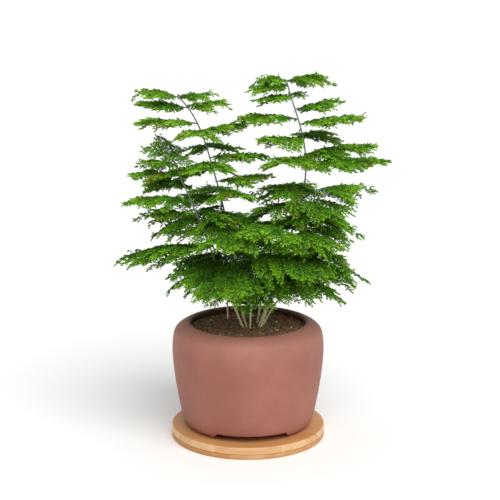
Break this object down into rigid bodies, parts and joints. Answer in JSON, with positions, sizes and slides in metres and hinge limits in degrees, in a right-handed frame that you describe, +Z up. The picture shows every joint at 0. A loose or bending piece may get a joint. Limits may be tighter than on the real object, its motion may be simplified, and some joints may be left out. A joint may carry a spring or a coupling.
{
  "type": "potted asparagus fern",
  "caption": "Lace asparagus fern with flat feathery fronds on wiry canes, in a round unglazed clay pot with a rolled lip and cut-out feet, standing on a round bamboo board.",
  "frame": {"origin": "middle of the bamboo board's underside, on the surface that the board lies on", "axes": "+Z up along the pot's axis, -Y towards the front, +X to the right"},
  "size_m": [0.2586, 0.2019, 0.3512],
  "materials": {
    "clay": "matte",
    "potting_soil": "matte",
    "root_crown": "matte",
    "canes": "satin",
    "foliage": "matte",
    "mesh": "matte",
    "bamboo_upper": "satin",
    "bamboo_lower": "satin"
  },
  "bodies": {
    "root": {"board_lower_ply": "bamboo_lower", "board_upper_ply": "bamboo_upper", "pot": "clay", "drain_mesh": "mesh", "soil": "potting_soil", "root_crown": "root_crown", "cane_left_tall": "canes", "spray_left_tall_1": "foliage", "spray_left_tall_2": "foliage", "spray_left_tall_3": "foliage", "spray_left_tall_4": "foliage", "spray_left_tall_5": "foliage", "spray_left_tall_6": "foliage", "spray_left_tall_7": "foliage", "spray_left_tall_8": "foliage", "spray_left_tall_9": "foliage", "spray_left_tall_10": "foliage", "spray_left_tall_11": "foliage", "cane_left_front": "canes", "spray_left_front_1": "foliage", "spray_left_front_2": "foliage", "spray_left_front_3": "foliage", "spray_left_front_4": "foliage", "spray_left_front_5": "foliage", "cane_right_tall": "canes", "spray_right_tall_1": "foliage", "spray_right_tall_2": "foliage", "spray_right_tall_3": "foliage", "spray_right_tall_4": "foliage", "spray_right_tall_5": "foliage", "spray_right_tall_6": "foliage", "spray_right_tall_7": "foliage", "spray_right_tall_8": "foliage", "spray_right_tall_9": "foliage", "spray_right_tall_10": "foliage", "spray_right_tall_11": "foliage", "spray_right_tall_12": "foliage", "spray_right_tall_13": "foliage", "cane_right_front": "canes", "spray_right_front_1": "foliage", "spray_right_front_2": "foliage", "spray_right_front_3": "foliage", "cane_left_low": "canes", "spray_left_low_1": "foliage", "spray_left_low_2": "foliage", "spray_left_low_3": "foliage", "cane_right_low": "canes", "spray_right_low_1": "foliage", "spray_right_low_2": "foliage", "cane_front": "canes", "spray_front_1": "foliage", "spray_front_2": "foliage", "spray_front_3": "foliage", "spray_front_4": "foliage", "cane_back_left": "canes", "spray_back_left_1": "foliage", "spray_back_left_2": "foliage", "cane_back_right": "canes", "spray_back_right_1": "foliage", "spray_back_right_2": "foliage"}
  },
  "joints": []
}
